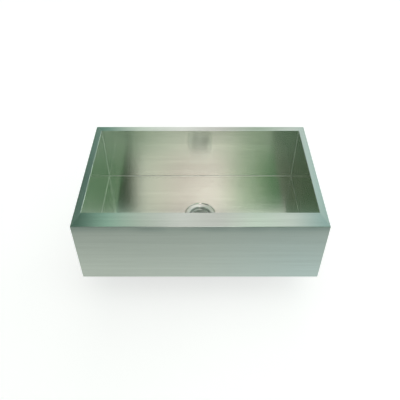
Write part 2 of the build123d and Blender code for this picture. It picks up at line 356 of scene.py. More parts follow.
# %% [markdown]
# ## Effect: turning marks
# Round metal parts are spun and polished on a lathe, so their fine marks run round the axis. The
# distance from the axis and the height, put through noise, give rings on any shape of part.

# %% Build the turning marks group
def turning_marks_group():
    """Fine rings round the drain's axis, and broad bands of them."""
    tree, given, result = new_group("turning marks", [PLACE], ["Marks", "Bands"])
    parts = split(tree, given["Vector"])
    flat = combine(tree, parts["X"], parts["Y"])
    reach = vector_of(tree, "LENGTH", flat, out="Value")
    outline = combine(tree, reach, parts["Z"])
    turn = vector_of(tree, "NORMALIZE", flat)

    def rings(per_metre):
        place = vector_of(tree, "ADD", scaled(tree, outline, per_metre), turn)
        return noise_of(tree, place, 1.0, 3.0)

    return finish_group(tree, result, {
        "Marks": rings(per_metre=2600.0),
        "Bands": rings(per_metre=420.0),
    })


TURNED = turning_marks_group()

# %% [markdown]
# ## Effect: moulded skin
# Rubber and fibre take the texture of their mould or press: a fine pebble with soft cloudy patches
# where the surface has dulled. One group gives both, and each material picks its own scale.

# %% Build the moulded skin group
def moulded_skin_group():
    """A pebbled height from 0 to 1, and a slow cloud for uneven colour."""
    tree, given, result = new_group(
        "moulded skin", [PLACE, ("Per Metre", "value", 900.0)], ["Pebble", "Cloud"],
    )
    cells = cells_of(tree, given["Vector"], given["Per Metre"])
    fine = noise_of(tree, given["Vector"], times(tree, given["Per Metre"], 2.5), 2.0)
    return finish_group(tree, result, {
        "Pebble": plus(tree, cells, times(tree, fine, 0.4)),
        "Cloud": noise_of(tree, given["Vector"], 22.0, 5.0, 0.62),
    })


SKIN = moulded_skin_group()

# %% [markdown]
# ## Colour and gloss of worked metal
# Brushed and turned metal differ in the run of their marks, but both get a little darker and lighter
# from mark to mark and are a little duller where they were touched. Two functions hold what is the
# same, so that the materials only say how strong it is.

# %% Build the colour and gloss of worked metal
# A noise seldom leaves the middle of 0 to 1, and the mean of two leaves it even less
USUAL_NOISE = (0.3, 0.7)
USUAL_TONE = (0.36, 0.64)


def marked_color(tree, metal, first, second, darkest, lightest):
    """The metal's colour, made darker and lighter by the mean of two noises."""
    tone = spread(tree, times(tree, plus(tree, first, second), 0.5), *USUAL_TONE)
    return ramp(tree, tone, [(0.0, shaded(metal, darkest)), (1.0, shaded(metal, lightest))])


def marked_gloss(tree, place, roughness, marks, share, dulling):
    """The metal's roughness, varied by a share along its marks, and duller under smudges."""
    low, high = (1.0 - share) * roughness, (1.0 + share) * roughness
    smudge = place_group(tree, SMUDGES, Vector=place)["Mask"]
    return plus(tree, spread(tree, marks, *USUAL_NOISE, low, high), times(tree, smudge, dulling))


print("worked metal ready")

# %% [markdown]
# ## Masks of the brushed sheet
# The sheet's finish changes from place to place, and masks worked out from the position say where,
# without a painted image. The two side rims were brushed from front to back and meet the deck and the
# back rim at mitres. The folds were bent in a press, which dulls the grain beside the floor. Under the
# deck's edge a soft dark band of painted shade is darkened into the colour of the apron. The dry side
# is every face that looks away from the middle of the bowl.

# %% Build the masks
MITRE_BLUR = 0.06
# How far the band of painted shade reaches down the apron
PAINTED_SHADE_REACH = 0.036


def away_from_bowl(tree, place):
    """1 where a face looks away from the middle of the bowl, 0 where it looks into it."""
    middle = (0.0, 0.0, 0.5 * FLOOR_Z)
    outward = vector_of(tree, "SUBTRACT", place, middle)
    normal = add_node(tree, "NewGeometry").outputs["True Normal"]
    facing = vector_of(tree, "DOT_PRODUCT", normal, outward, out="Value")
    return math_of(tree, "GREATER_THAN", facing, 0.0)


def side_rim_mask(tree, place):
    """1 on the two side rims, up to the mitre lines at their corners."""
    parts = split(tree, place)
    beside = minus(tree, math_of(tree, "ABSOLUTE", parts["X"]), BOWL_X)
    front = minus(tree, times(tree, parts["Y"], -1.0), BOWL_Y)
    back = minus(tree, parts["Y"], BOWL_Y)
    # On a mitre the share of the way across the side rim equals the share of the way across the other
    front_share = math_of(tree, "DIVIDE", front, -PANEL_LOW.y - BOWL_Y)
    back_share = math_of(tree, "DIVIDE", back, PANEL_HIGH.y - BOWL_Y)
    side_share = math_of(tree, "DIVIDE", beside, PANEL_HIGH.x - BOWL_X)
    other = math_of(tree, "MAXIMUM", front_share, back_share)
    lead = minus(tree, side_share, math_of(tree, "MAXIMUM", other, 0.0))
    return spread(tree, lead, -MITRE_BLUR, MITRE_BLUR)


def fold_mask(tree, place):
    """1 on the two folds between the bowl's floor and its long walls."""
    parts = split(tree, place)
    beside = math_of(tree, "GREATER_THAN", math_of(tree, "ABSOLUTE", parts["Y"]), BOWL_Y - BOWL_FOLD)
    low = math_of(tree, "LESS_THAN", parts["Z"], FLOOR_Z + BOWL_FOLD)
    return times(tree, beside, low)


def painted_shade_mask(tree, place):
    """1 along the band of painted shade from the deck's edge, fading out unevenly down the apron."""
    parts = split(tree, place)
    face = spread(tree, parts["Y"], PANEL_LOW.y + 0.003, PANEL_LOW.y + 0.001)
    below = spread(tree, parts["Z"], -PAINTED_SHADE_REACH, -0.002)
    cloud = spread(tree, noise_of(tree, place, 7.0, 2.0), 0.35, 0.65, 0.45, 1.0)
    return times(tree, face, below, cloud)


print("masks ready")

# %% [markdown]
# ## Material: brushed sheet
# Rim, apron, bowl and cheeks are one kind of stainless sheet. Brushed metal blurs what it reflects
# across the scratches and keeps it sharper along them, which Cycles calls anisotropy. The Tangent
# input is the direction of the scratches, and a rotation of a quarter turn puts the blur across
# them. The mask of the side rims turns both the streaks and the blur there, where the belt was also a
# finer one. The dry side of the bowl gets the sprayed coat.

# %% Build the brushed sheet materials
RIM_STEEL = (0.54, 0.61, 0.555)
BOWL_STEEL = (0.69, 0.74, 0.67)
END_STEEL = (0.65, 0.73, 0.62)
COAT_GREY = (0.30, 0.31, 0.30)
COAT_ROUGHNESS = 0.78
WAVE_HEIGHT = 0.00008
SCRATCH_DEPTH = 0.0000003
FOLD_DULLING = 0.3
SIDE_RIM_GLOSS = 0.4
ACROSS_GRAIN = 0.25
# The colour factor of the band of painted shade under the deck's edge
PAINTED_SHADE_TONE = (0.63, 0.69, 0.69)


def brushed_sheet(name, steel, roughness, along, mitred=False, coated=False):
    """Stainless sheet brushed along X or Y, with mitred side rims and painted shade, or a coated dry
    side.
    """
    material, tree, shader, place = new_material(name, 1.0)
    if mitred:
        turn = side_rim_mask(tree, place)
        direction = combine(tree, minus(tree, 1.0, turn), turn)
    else:
        direction = combine(tree, *along)
    grain = place_group(tree, GRAIN, Vector=place, Along=direction)
    color = marked_color(tree, steel, grain["Bundles"], grain["Bands"], 0.955, 1.045)
    rough = marked_gloss(tree, place, roughness, grain["Scratches"], 0.1, 0.012)
    if mitred:
        keep = spread(tree, turn, 0.0, 1.0, 1.0, 1.0 - SIDE_RIM_GLOSS)
        rough = times(tree, rough, keep)
        # Painted shade: a darker band of colour under the deck's edge
        pressed = (*(darker * channel for darker, channel in zip(PAINTED_SHADE_TONE, steel)), 1.0)
        color = mix_of(tree, painted_shade_mask(tree, place), color, pressed)
    if coated:
        rough = plus(tree, rough, times(tree, fold_mask(tree, place), FOLD_DULLING))
    waves = place_group(tree, WAVES, Vector=place, Height=WAVE_HEIGHT)["Height"]
    height = plus(tree, waves, times(tree, grain["Scratches"], SCRATCH_DEPTH))
    if coated:
        dry = away_from_bowl(tree, place)
        coat = place_group(tree, COAT, Vector=place)
        dusty = ramp(tree, coat["Cloud"], [(0.3, COAT_GREY), (0.7, shaded(COAT_GREY, 1.15))])
        color = mix_of(tree, dry, color, dusty)
        rough = blend(tree, dry, rough, COAT_ROUGHNESS)
        height = blend(tree, dry, height, coat["Height"])
        fill(tree, shader, {"Metallic": minus(tree, 1.0, dry)})
    fill(tree, shader, {"Base Color": color, "Roughness": rough, "Tangent": direction})
    fill(tree, shader, {"Anisotropic": 1.0, "Anisotropic Rotation": ACROSS_GRAIN})
    bump(tree, shader, height)
    return material


LENGTHWAYS, CROSSWAYS = (1.0, 0.0, 0.0), (0.0, 1.0, 0.0)
RIM_SHEET = brushed_sheet("brushed_rim_and_apron", RIM_STEEL, 0.16, LENGTHWAYS, mitred=True)
WRAP_SHEET = brushed_sheet("brushed_bowl", BOWL_STEEL, 0.145, LENGTHWAYS, coated=True)
END_SHEET = brushed_sheet("brushed_bowl_ends", END_STEEL, 0.145, CROSSWAYS, coated=True)
CHEEK_SHEET = brushed_sheet("brushed_cheeks", RIM_STEEL, 0.16, CROSSWAYS)

# %% [markdown]
# ## Material: ground welds
# Where the bowl's corners were welded, the seam is ground and polished by hand. The wheel leaves
# short marks in every direction, so this metal has no grain of its own and looks a little brighter
# and softer than the sheet on both sides.

# %% Build the ground weld material
def ground_weld():
    """Steel polished by hand, with cloudy marks in no one direction."""
    material, tree, shader, place = new_material("ground_weld", 1.0)
    marks = noise_of(tree, place, 900.0, 4.0, 0.65)
    cloud = noise_of(tree, place, 60.0, 3.0)
    color = ramp(tree, cloud, [(0.35, shaded(BOWL_STEEL, 0.9)), (0.65, shaded(BOWL_STEEL, 1.16))])
    fill(tree, shader, {"Base Color": color, "Roughness": spread(tree, marks, *USUAL_NOISE, 0.2, 0.3)})
    bump(tree, shader, times(tree, marks, 0.00002))
    return material


WELD_STEEL = ground_weld()

# %% [markdown]
# ## Materials: turned and polished metals
# The strainer, its nuts and the basket are bright pressed or turned parts. One function makes them
# all: the rings of the lathe change the tone a little and the gloss more. The way along a ring is the
# place turned by a quarter round the axis, and as the Tangent it makes the blur follow the rings.

# %% Build the turned metals
def turned_metal(name, metal, roughness, brushing=0.6):
    """Metal with marks round the drain's axis."""
    material, tree, shader, place = new_material(name, 1.0)
    marks = place_group(tree, TURNED, Vector=place)
    color = marked_color(tree, metal, marks["Marks"], marks["Bands"], 0.93, 1.06)
    rough = marked_gloss(tree, place, roughness, marks["Marks"], 0.15, 0.05)
    parts = split(tree, place)
    back = times(tree, parts["Y"], -1.0)
    along_ring = vector_of(tree, "NORMALIZE", combine(tree, back, parts["X"]))
    fill(tree, shader, {"Base Color": color, "Roughness": rough, "Tangent": along_ring})
    fill(tree, shader, {"Anisotropic": brushing, "Anisotropic Rotation": ACROSS_GRAIN})
    bump(tree, shader, times(tree, marks["Marks"], 0.000001))
    return material


STRAINER_STEEL = turned_metal("turned_strainer_steel", (0.88, 0.90, 0.87), 0.3, 0.7)
BASKET_STEEL = turned_metal("turned_basket_steel", (0.86, 0.88, 0.85), 0.3, 0.6)
TUBE_STEEL = turned_metal("polished_tube_steel", (0.72, 0.73, 0.71), 0.13, 0.4)

# %% [markdown]
# ## Material: die-cast zinc
# Nuts of this kind are cast in zinc and thinly plated. The casting skin stays a little rough, with
# shallow pits and a faint warm cloudiness, and the tool marks don't run in any direction.

# %% Build the cast zinc
def cast_zinc():
    """Plated casting with shallow pits."""
    material, tree, shader, place = new_material("cast_zinc_plated", 1.0)
    skin = place_group(tree, SKIN, Vector=place, Per_Metre=650.0)
    color = ramp(tree, skin["Cloud"], [(0.3, (0.50, 0.50, 0.48)), (0.7, (0.64, 0.64, 0.62))])
    rough = spread(tree, skin["Cloud"], *USUAL_NOISE, 0.4, 0.28)
    fill(tree, shader, {"Base Color": color, "Roughness": rough})
    pits = noise_of(tree, place, 1400.0, 3.0, 0.6)
    bump(tree, shader, times(tree, pits, 0.00006))
    return material


ZINC = cast_zinc()

# %% [markdown]
# ## Materials: rubber, foam, fibre, plastic and bronze
# The soft rings and pads aren't shiny, so what tells them apart is colour, gloss and the size of
# their texture: a pebbled deadening pad, a smooth gasket, an open-celled sealing ring, a fibre
# washer with a felted look, a slightly waxy plastic washer and a rolled bronze sleeve.

# %% Build the soft materials
def moulded(name, dark, light, roughness, per_metre, height, specular=0.4):
    """Rubber, foam or plastic with the skin of its mould. height is in metres."""
    material, tree, shader, place = new_material(name)
    skin = place_group(tree, SKIN, Vector=place, Per_Metre=per_metre)
    color = ramp(tree, skin["Cloud"], [(0.3, dark), (0.7, light)])
    low, high = 0.92 * roughness, min(1.0, 1.08 * roughness)
    rough = spread(tree, skin["Cloud"], *USUAL_NOISE, low, high)
    fill(tree, shader, {"Base Color": color, "Roughness": rough, "Specular IOR Level": specular})
    bump(tree, shader, times(tree, skin["Pebble"], height))
    return material


def pressed_fibre():
    """Fibre washer: short felted streaks and specks."""
    material, tree, shader, place = new_material("pressed_fibre")
    stretched = vector_of(tree, "MULTIPLY", place, (700.0, 260.0, 2000.0))
    felt = noise_of(tree, stretched, 1.0, 5.0, 0.7)
    tones = [(0.3, (0.36, 0.27, 0.16)), (0.55, (0.50, 0.40, 0.26)), (0.75, (0.62, 0.52, 0.37))]
    fill(tree, shader, {"Base Color": ramp(tree, felt, tones), "Roughness": 0.86})
    bump(tree, shader, times(tree, felt, 0.00008))
    return material


PAD_RUBBER = moulded(
    "pebbled_pad_rubber", (0.040, 0.040, 0.043), (0.068, 0.067, 0.066), 0.8, 520.0, 0.00016,
)
GASKET_RUBBER = moulded(
    "smooth_black_rubber", (0.022, 0.022, 0.023), (0.04, 0.04, 0.041), 0.5, 1800.0, 0.00002,
)
SEAL_FOAM = moulded(
    "pale_seal_foam", (0.50, 0.51, 0.49), (0.60, 0.61, 0.59), 0.9, 1500.0, 0.00012, 0.2,
)
WASHER_PLASTIC = moulded(
    "white_washer_plastic", (0.80, 0.80, 0.77), (0.86, 0.86, 0.83), 0.42, 2600.0, 0.000015,
)
FIBRE = pressed_fibre()
BRONZE = turned_metal("rolled_spring_bronze", (0.60, 0.42, 0.20), 0.26, 0.5)

# %% [markdown]
# ## Dress the loaded pieces
# A loaded piece keeps its shape and only gets a material. Pieces that are modelled again further on
# are dressed here as well, so that the measured model looks right on its own.

# %% Dress the loaded pieces
def dress(material, *node_names):
    """Give loaded pieces their material."""
    for node_name in node_names:
        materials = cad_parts[node_name].data.materials
        materials.clear()
        materials.append(material)


# Each pad with the way its free face looks
PADS = {
    "floor_pad_left": (0.0, 0.0, -1.0),
    "floor_pad_right": (0.0, 0.0, -1.0),
    "left_wall_pad": (-1.0, 0.0, 0.0),
    "right_wall_pad": (1.0, 0.0, 0.0),
    "back_wall_pad": (0.0, 1.0, 0.0),
    "front_wall_pad": (0.0, -1.0, 0.0),
    "apron_pad": (0.0, 1.0, 0.0),
}
dress(RIM_SHEET, "rim_apron")
dress(WRAP_SHEET, "bowl_wrap")
dress(END_SHEET, "left_end_wall", "right_end_wall")
dress(CHEEK_SHEET, "left_cheek", "right_cheek")
dress(PAD_RUBBER, *PADS)
dress(STRAINER_STEEL, "strainer_body", "outlet_stub", "cross_bar")
dress(TUBE_STEEL, "tailpiece")
dress(BASKET_STEEL, "basket_cup", "basket_post", "basket_nut", "basket_knob")
dress(SEAL_FOAM, "flange_seal")
dress(GASKET_RUBBER, "rubber_gasket", "basket_stopper")
dress(FIBRE, "friction_washer")
dress(ZINC, "locknut", "coupling_nut")
dress(WASHER_PLASTIC, "tailpiece_washer")
dress(BRONZE, "spring_sleeve")
print("dressed", len(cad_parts), "pieces")

# %% [markdown]
# ## Helpers for modelling by hand, in code
# Each new piece starts as a primitive and is shaped in edit mode, as with the mouse. Operators act on
# whatever is selected, so a helper first deselects everything, and another selects faces or edges by
# their place.

# %% Modelling helpers
def deselect():
    """Leave edit mode and deselect every object."""
    if bpy.context.object and bpy.context.object.mode != "OBJECT":
        bpy.ops.object.mode_set(mode="OBJECT")
    bpy.ops.object.select_all(action="DESELECT")


def start_piece(name):
    """Name the primitive that was just added, and put its place and size into its mesh."""
    piece = bpy.context.active_object
    piece.name = name
    piece.data.name = name
    bpy.ops.object.transform_apply(location=True, rotation=True, scale=True)
    return piece


def pick(piece, kind, wanted):
    """In edit mode, select the points, edges or faces whose place and direction are wanted."""
    bpy.ops.object.mode_set(mode="EDIT")
    bpy.ops.mesh.select_mode(type=kind)
    bpy.ops.mesh.select_all(action="DESELECT")
    bpy.ops.object.mode_set(mode="OBJECT")
    mesh = piece.data
    if kind == "VERT":
        for vertex in mesh.vertices:
            vertex.select = wanted(vertex.co, vertex.normal)
    elif kind == "FACE":
        for face in mesh.polygons:
            face.select = wanted(face.center, face.normal)
    else:
        for edge in mesh.edges:
            low, high = (mesh.vertices[index].co for index in edge.vertices)
            edge.select = wanted((low + high) / 2, (high - low).normalized())
    bpy.ops.object.mode_set(mode="EDIT")


def tidy_mesh():
    """Merge doubled points of the piece in edit mode, turn all faces outwards and leave edit mode."""
    bpy.ops.mesh.select_all(action="SELECT")
    bpy.ops.mesh.remove_doubles(threshold=0.000002)
    bpy.ops.mesh.normals_make_consistent(inside=False)
    bpy.ops.object.mode_set(mode="OBJECT")


def apply_modifier(piece, kind, **settings):
    """Add a modifier with its settings and apply it."""
    bpy.context.view_layer.objects.active = piece
    bpy.ops.object.modifier_add(type=kind)
    modifier = piece.modifiers[-1]
    for key, value in settings.items():
        setattr(modifier, key, value)
    bpy.ops.object.modifier_apply(modifier=modifier.name)


def make_active(*pieces):
    """Select just these pieces, and make the first the active one."""
    deselect()
    for piece in pieces:
        piece.select_set(True)
    bpy.context.view_layer.objects.active = pieces[0]


def join_pieces(name, pieces):
    """Join pieces into the first of them."""
    make_active(*pieces)
    bpy.ops.object.join()
    pieces[0].name = name
    return pieces[0]


def finish_piece(piece, material, slot, body, *replaced, angle=35.0):
    """Shade a piece, give it its finish, and let it ride on its body in place of loaded pieces."""
    make_active(piece)
    bpy.ops.object.shade_smooth_by_angle(angle=math.radians(angle))
    piece.data.materials.clear()
    piece.data.materials.append(material)
    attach(piece, body)
    if replaced:
        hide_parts(*replaced)
    print(piece.name, len(piece.data.polygons), "faces")


print("modelling helpers ready")

# %% [markdown]
# ## Turning a round part
# A lathe part is a profile swept round an axis. Here the circle of the profile's first corner is
# extruded from corner to corner, each time moved up or down and made wider or narrower, until the
# outline closes. Edges that are rounded on the real part are bevelled afterwards.

# %% Turning helpers
def turn_piece(name, corners, sides=96, hollow=True):
    """A part with an outline of (radius, height) corners. Hollow parts close on their first corner."""
    deselect()
    radius, height = corners[0]
    bpy.ops.mesh.primitive_circle_add(vertices=sides, radius=radius, location=(0.0, 0.0, height))
    piece = start_piece(name)
    bpy.ops.object.mode_set(mode="EDIT")
    bpy.ops.mesh.select_mode(type="EDGE")
    bpy.ops.mesh.select_all(action="SELECT")
    path = [*corners[1:], corners[0]] if hollow else corners[1:]
    for next_radius, next_height in path:
        move = {"value": (0.0, 0.0, next_height - height)}
        bpy.ops.mesh.extrude_edges_move(TRANSFORM_OT_translate=move)
        grow = next_radius / radius
        bpy.ops.transform.resize(value=(grow, grow, 1.0), center_override=(0.0, 0.0, next_height))
        radius, height = next_radius, next_height
    if not hollow:
        bpy.ops.mesh.select_all(action="SELECT")
        bpy.ops.mesh.fill_holes(sides=0)
    tidy_mesh()
    return piece


def round_rings(piece, width, segments, *rings):
    """Bevel the round edges at the given (radius, height) places."""
    def on_ring(middle, direction):
        reach = math.hypot(middle.x, middle.y)
        return abs(direction.z) < 0.1 and any(
            abs(reach - radius) < 0.005 * radius and abs(middle.z - height) < 0.00002
            for radius, height in rings
        )
    pick(piece, "EDGE", on_ring)
    bpy.ops.mesh.bevel(offset=width, segments=segments, profile=0.5)
    tidy_mesh()


def thread(radius, low, high, pitch, depth):
    """Corners of a rolled thread between two heights, cut into a part's outside, from low to high."""
    turns = int((high - low) / pitch)
    corners = []
    for index in range(turns):
        corners.append((radius, low + index * pitch))
        corners.append((radius - depth, low + (index + 0.5) * pitch))
    return corners


print("turning helpers ready")

# %% [markdown]
# ## The ground welds in the bowl's corners
# The two flat ends of the bowl are welded to the folded sheet, and on the wet side each seam is
# ground to a small hollow and polished. That hollow draws the thin bright line in every corner. Its
# section is a small square with its inner corner rounded away. It is extruded down the wall, spun
# round the fold, extruded along the floor and brought up the other side.

# %% Grind the corner welds
WELD_HOLLOW = 0.0015
WELD_SUNK = 0.0001
HOLLOW_PROFILE = 0.086
FOLD_STEPS = 6


def corner_weld(side):
    """The hollow weld along one end wall, from the rim down, across the floor and up again."""
    deselect()
    size = WELD_HOLLOW + WELD_SUNK
    middle_x = side * (BOWL_X + WELD_SUNK - size / 2)
    middle_y = BOWL_Y + WELD_SUNK - size / 2
    top = -SHEET
    bpy.ops.mesh.primitive_plane_add(size=size, location=(middle_x, middle_y, top))
    piece = start_piece("corner_weld")
    pick(piece, "VERT", lambda place, normal: abs(place.x) < abs(middle_x) and place.y < middle_y)
    bpy.ops.mesh.bevel(
        offset=WELD_HOLLOW, segments=FOLD_STEPS, profile=HOLLOW_PROFILE, affect="VERTICES",
    )
    bpy.ops.mesh.select_mode(type="FACE")
    bpy.ops.mesh.select_all(action="SELECT")
    fold_z = FLOOR_Z + BOWL_FOLD
    fold_y = BOWL_Y - BOWL_FOLD
    bpy.ops.mesh.extrude_region_move(TRANSFORM_OT_translate={"value": (0.0, 0.0, fold_z - top)})
    turn = {"steps": FOLD_STEPS, "angle": math.pi / 2, "axis": (1.0, 0.0, 0.0)}
    bpy.ops.mesh.spin(center=(0.0, fold_y, fold_z), **turn)
    bpy.ops.mesh.extrude_region_move(TRANSFORM_OT_translate={"value": (0.0, -2 * fold_y, 0.0)})
    bpy.ops.mesh.spin(center=(0.0, -fold_y, fold_z), **turn)
    bpy.ops.mesh.extrude_region_move(TRANSFORM_OT_translate={"value": (0.0, 0.0, top - fold_z)})
    tidy_mesh()
    return piece


ground_welds = join_pieces("ground_corner_welds", [corner_weld(-1.0), corner_weld(1.0)])
finish_piece(ground_welds, WELD_STEEL, "brushed_sheet", "sink")

# %% [markdown]
# ## The weld beads of the dry side
# Underneath, the seams stay as they were welded. A bead is a row of overlapping scales, one for each
# small step of the torch. One scale is modelled as a small plain ball half sunk in the sheet, and an
# Array modifier repeats it along each seam. The grey coat was sprayed over bowl and beads together.

# %% Weld the dry side
BEAD_WIDTH = 0.0026
BEAD_PITCH = 0.0016
BEAD_OVERRUN = 0.003


def bead(start, end):
    """A row of scales from one place to another along one axis."""
    deselect()
    run = Vector(end) - Vector(start)
    bpy.ops.mesh.primitive_uv_sphere_add(
        segments=6, ring_count=4, radius=BEAD_WIDTH / 2, location=start,
    )
    piece = start_piece("bead")
    step = run.normalized() * BEAD_PITCH
    apply_modifier(
        piece, "ARRAY",
        count=int(run.length / BEAD_PITCH) + 1,
        use_relative_offset=False, use_constant_offset=True, constant_offset_displace=step,
    )
    return piece


beads = []
floor_z = FLOOR_Z - SHEET
for side in (-1.0, 1.0):
    seam_x = side * BOWL_X
    wall_x = side * (BOWL_X + SHEET)
    wall_y = side * (BOWL_Y + SHEET)
    for end in (-1.0, 1.0):
        seam_y = end * (BOWL_Y + SHEET)
        beads.append(bead((seam_x, seam_y, -SHEET), (seam_x, seam_y, floor_z + BEAD_OVERRUN)))
    beads.append(bead((seam_x, -BOWL_Y, floor_z), (seam_x, BOWL_Y, floor_z)))
    beads.append(bead((wall_x, -BOWL_Y, -SHEET), (wall_x, BOWL_Y, -SHEET)))
    beads.append(bead((-BOWL_X, wall_y, -SHEET), (BOWL_X, wall_y, -SHEET)))
weld_beads = join_pieces("weld_beads", beads)
finish_piece(weld_beads, WRAP_SHEET, "brushed_sheet", "sink")

# %% [markdown]
# ## The deadening pads
# Thick rubber pads are glued to the dry side so that water and dishes don't drum. Each was cut with
# round corners, its outer edge is soft, and a shallow groove runs round it inside the edge. The pad
# starts as a box on its place: the four corner edges are bevelled, the outer face is inset three
# times, down into the groove and up again, and its edge is rounded last.

# %% Mould the pads
PAD_CORNER = 0.012
PAD_EDGE = 0.0006
GROOVE_INSET = 0.009
GROOVE_WIDTH = 0.0016
GROOVE_DEPTH = 0.0008


def pad(node_name, outward):
    """A pad on the place of its loaded solid. outward is the way its free face looks."""
    deselect()
    low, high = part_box(node_name)
    outward = Vector(outward)
    bpy.ops.mesh.primitive_cube_add(size=1.0, location=(low + high) / 2)
    bpy.context.active_object.scale = high - low
    piece = start_piece(node_name + "_moulded")
    face_level = max(low.dot(outward), high.dot(outward))
    pick(piece, "EDGE", lambda middle, direction: abs(direction.dot(outward)) > 0.9)
    bpy.ops.mesh.bevel(offset=PAD_CORNER, segments=6, profile=0.5)
    bpy.ops.object.mode_set(mode="OBJECT")
    pick(piece, "FACE", lambda middle, normal: normal.dot(outward) > 0.9)
    bpy.ops.mesh.inset(thickness=GROOVE_INSET)
    bpy.ops.mesh.inset(thickness=GROOVE_WIDTH / 2, depth=-GROOVE_DEPTH)
    bpy.ops.mesh.inset(thickness=GROOVE_WIDTH)
    bpy.ops.mesh.inset(thickness=GROOVE_WIDTH / 2, depth=GROOVE_DEPTH)
    bpy.ops.object.mode_set(mode="OBJECT")
    middle_of_pad = (low + high) / 2
    reach = (high - low) / 2

    def on_outer_edge(middle, direction):
        level = abs(middle.dot(outward) - face_level) < 0.00001
        offset = middle - middle_of_pad
        return level and any(
            reach[axis] - abs(offset[axis]) < GROOVE_INSET / 2
            for axis in range(3) if abs(outward[axis]) < 0.5
        )

    pick(piece, "EDGE", on_outer_edge)
    bpy.ops.mesh.bevel(offset=PAD_EDGE, segments=2, profile=0.5)
    tidy_mesh()
    finish_piece(piece, PAD_RUBBER, "pad_rubber", "sink", node_name)


for node_name, outward in PADS.items():
    pad(node_name, outward)

# %% [markdown]
# ## The strainer
# The strainer is one deep stamping: a flange that lies on the floor, a throat that rolls down into
# the cup, and a flat seat with a hole. A thread is rolled into the outside of the cup for the nut.

# %% Turn the strainer
STRAINER_LOW, STRAINER_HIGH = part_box("strainer_body")
STUB_LOW, STUB_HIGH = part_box("outlet_stub")
STRAINER_WALL = 0.0012
STRAINER_BORE = 0.041
STUB_BORE = 0.0195
FLANGE_SLOPE = 0.0006
THROAT_DEPTH = 0.02
SEAT_STEP = 0.0005
SEAT_DIP = 0.0002
THREAD_PITCH = 0.002
THREAD_DEPTH = 0.0005

flange = STRAINER_HIGH.x
top = STRAINER_HIGH.z
seat = STRAINER_LOW.z + STRAINER_WALL
cup = STRAINER_BORE + STRAINER_WALL
thread_top = top - 0.006
strainer = turn_piece("strainer", [
    (flange, top - STRAINER_WALL),
    (flange, top),
    (flange - 0.004, top),
    (STRAINER_BORE, top - FLANGE_SLOPE),
    (STRAINER_BORE, top - THROAT_DEPTH),
    (STRAINER_BORE - SEAT_STEP, top - THROAT_DEPTH - 0.0006),
    (STRAINER_BORE - SEAT_STEP, seat),
    (STUB_BORE + 0.007, seat),
    (STUB_BORE + 0.0062, seat - SEAT_DIP),
    (STUB_BORE, seat - SEAT_DIP),
    (STUB_BORE, STRAINER_LOW.z),
    (cup, STRAINER_LOW.z),
    *thread(cup, STRAINER_LOW.z + 0.004, thread_top, THREAD_PITCH, THREAD_DEPTH),
    (cup, thread_top),
    (cup, top - STRAINER_WALL),
])
round_rings(strainer, 0.003, 5, (STRAINER_BORE, top - FLANGE_SLOPE))
round_rings(strainer, 0.0024, 4, (STRAINER_BORE - SEAT_STEP, seat), (cup, STRAINER_LOW.z))
round_rings(strainer, 0.0005, 3, (flange, top))
round_rings(strainer, 0.0016, 3, (cup, top - STRAINER_WALL))
finish_piece(strainer, STRAINER_STEEL, "polished_steel", "sink", "strainer_body")

stub = STUB_HIGH.x
outlet_stub = turn_piece("threaded_stub", [
    (STUB_BORE, STUB_LOW.z),
    (stub - 0.0006, STUB_LOW.z),
    *thread(stub, STUB_LOW.z + 0.0008, STUB_HIGH.z - 0.001, THREAD_PITCH, THREAD_DEPTH),
    (stub, STUB_HIGH.z - 0.0006),
    (stub, STUB_HIGH.z),
    (STUB_BORE, STUB_HIGH.z),
])
finish_piece(outlet_stub, STRAINER_STEEL, "polished_steel", "sink", "outlet_stub")

# %% [markdown]
# ## The gasket and the locknut
# The rubber gasket bulges a little where the nut presses it, so its outline has one more corner
# halfway up. The locknut is a cast ring: on its outside, pairs of faces are extruded as lugs for a
# spanner, and a Bevel modifier softens its edges as a casting's are.

# %% Shape the gasket and the locknut
GASKET_LOW, GASKET_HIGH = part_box("rubber_gasket")
LOCKNUT_LOW, LOCKNUT_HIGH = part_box("locknut")
NUT_BORE = 0.0424
LOCKNUT_RADIUS = 0.0505
LOCKNUT_LUGS = 6
LUG_HALF_ANGLE = math.radians(5.0)
BULGE = 0.0004

pressed = GASKET_HIGH.x - BULGE
gasket = turn_piece("rubber_ring", [
    (NUT_BORE, GASKET_LOW.z),
    (pressed, GASKET_LOW.z),
    (GASKET_HIGH.x, (GASKET_LOW.z + GASKET_HIGH.z) / 2),
    (pressed, GASKET_HIGH.z),
    (NUT_BORE, GASKET_HIGH.z),
])
round_rings(gasket, 0.0008, 3, (pressed, GASKET_LOW.z), (pressed, GASKET_HIGH.z))
finish_piece(gasket, GASKET_RUBBER, "gasket_rubber", "sink", "rubber_gasket")

shoulder = LOCKNUT_RADIUS - 0.003
locknut = turn_piece("lugged_locknut", [
    (NUT_BORE, LOCKNUT_LOW.z),
    (shoulder, LOCKNUT_LOW.z),
    (shoulder, LOCKNUT_LOW.z + 0.0035),
    (LOCKNUT_RADIUS, LOCKNUT_LOW.z + 0.0045),
    (LOCKNUT_RADIUS, LOCKNUT_HIGH.z),
    (NUT_BORE, LOCKNUT_HIGH.z),
], sides=72)


def on_lug(middle, normal):
    """True for the outer faces beside each lug's middle line."""
    outside = math.hypot(middle.x, middle.y) > LOCKNUT_RADIUS - 0.0005 and abs(normal.z) < 0.1
    step = 2 * math.pi / LOCKNUT_LUGS
    angle = math.atan2(middle.y, middle.x)
    return outside and abs(angle - round(angle / step) * step) < LUG_HALF_ANGLE


pick(locknut, "FACE", on_lug)
lug = {"value": LOCKNUT_HIGH.x - LOCKNUT_RADIUS}
bpy.ops.mesh.extrude_region_shrink_fatten(TRANSFORM_OT_shrink_fatten=lug)
tidy_mesh()
apply_modifier(
    locknut, "BEVEL",
    width=0.0005, segments=2, limit_method="ANGLE", angle_limit=math.radians(40.0),
)
finish_piece(locknut, ZINC, "cast_zinc", "sink", "locknut")
print("lugs reach", round(max(v.co.x for v in locknut.data.vertices), 4))

